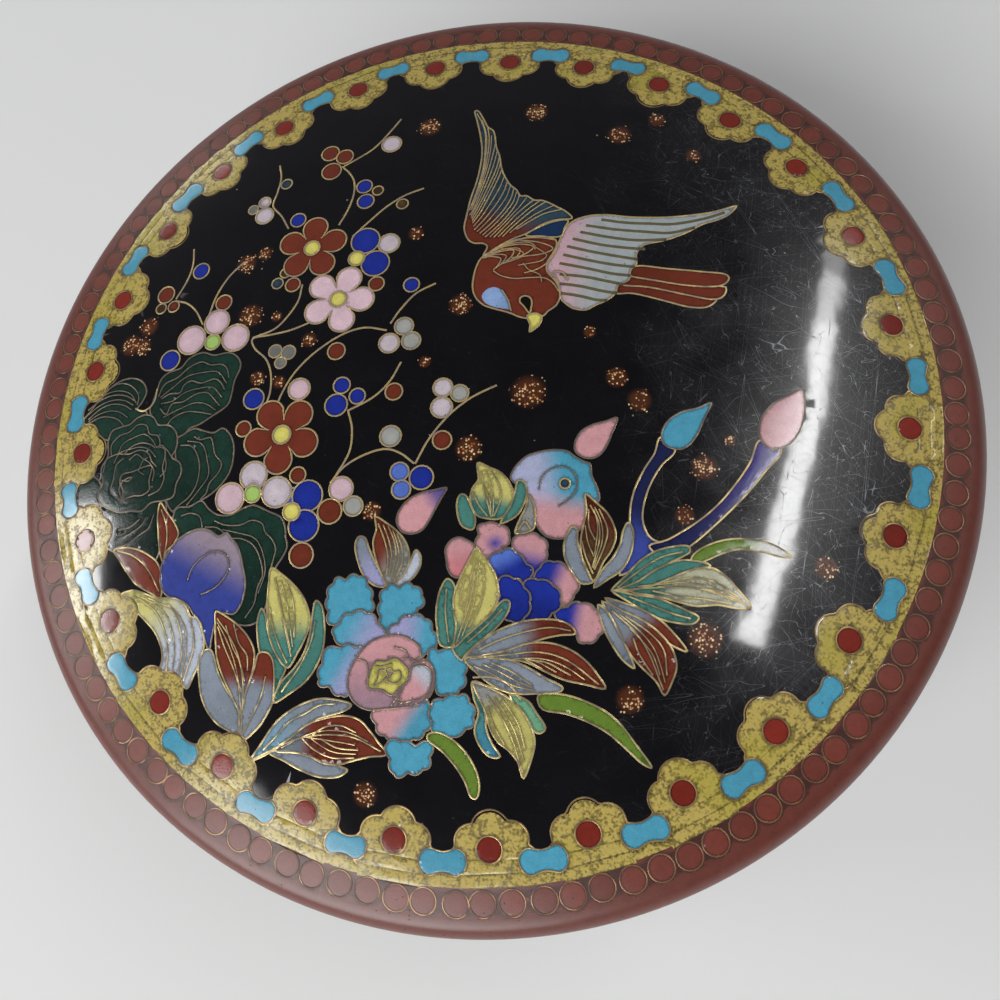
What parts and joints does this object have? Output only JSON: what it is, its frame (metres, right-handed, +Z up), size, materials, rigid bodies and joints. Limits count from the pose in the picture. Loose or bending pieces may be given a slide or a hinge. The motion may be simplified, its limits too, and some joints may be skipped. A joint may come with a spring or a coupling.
{
  "type": "cloisonne enamel box",
  "caption": "Round copper box with a shallow domed lift-off lid, enamelled in wire cells with a bird, plum blossom and flowers on black.",
  "frame": {"origin": "middle of the foot ring's underside", "axes": "+Z up through the middle of the lid, +Y towards the top of the lid's picture"},
  "size_m": [0.102, 0.102, 0.0482],
  "materials": {
    "lid_enamel": "gloss",
    "base_enamel": "gloss",
    "gilt_wire": "satin"
  },
  "bodies": {
    "root": {"lid": "lid_enamel", "base": "base_enamel"}
  },
  "joints": []
}
